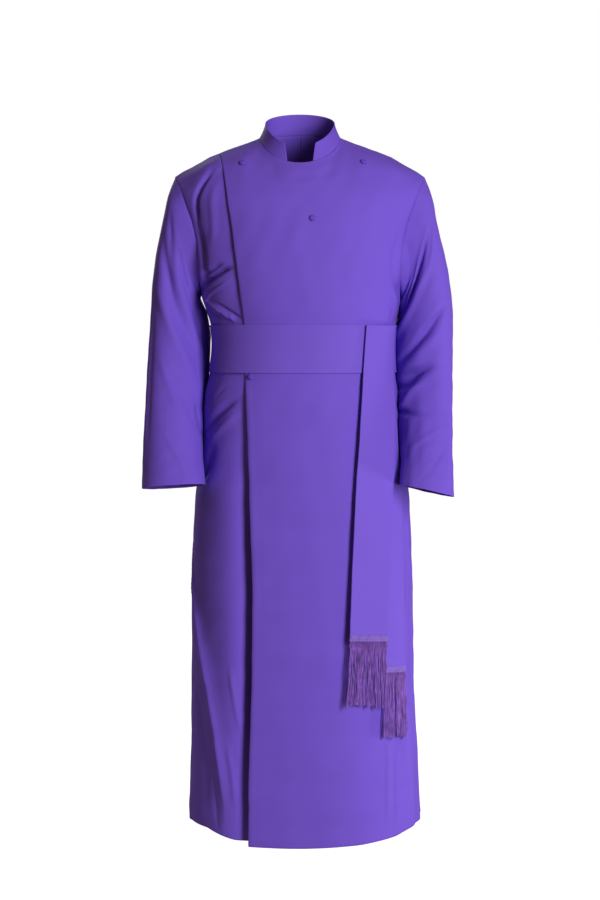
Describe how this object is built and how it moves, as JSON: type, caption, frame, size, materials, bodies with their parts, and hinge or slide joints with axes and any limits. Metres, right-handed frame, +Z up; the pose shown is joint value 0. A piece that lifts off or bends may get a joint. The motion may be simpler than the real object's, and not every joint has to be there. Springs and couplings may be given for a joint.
{
  "type": "clergy robe",
  "caption": "Long double-breasted clergy cassock, standing notched collar, plain sleeves and a band cincture with two fringed falls, worn and hollow.",
  "frame": {"origin": "middle of the neck base, level with the points where the shoulder seams meet the collar; the wearer's shoulders carry the robe there", "axes": "+Z up along the robe, +X to the wearer's left, the front faces -Y"},
  "size_m": [0.6274, 0.4253, 1.4631],
  "materials": {
    "cassock_cloth": "smooth twill suiting with a slight sheen",
    "cincture_cloth": "smooth twill suiting, pressed flat",
    "fringe_yarn": "twisted yarn",
    "button_cloth": "cloth-covered"
  },
  "bodies": {
    "root": {"front_left": "cassock_cloth", "front_right": "cassock_cloth", "back_left": "cassock_cloth", "back_right": "cassock_cloth", "sleeve_left": "cassock_cloth", "sleeve_right": "cassock_cloth", "collar": "cassock_cloth", "cincture_band": "cincture_cloth", "cincture_fall_front": "cincture_cloth", "cincture_fall_rear": "cincture_cloth", "fringe_front": "fringe_yarn", "fringe_rear": "fringe_yarn", "button_right_shoulder": "button_cloth", "button_left_shoulder": "button_cloth", "button_breast": "button_cloth", "button_waist": "button_cloth"}
  },
  "joints": []
}
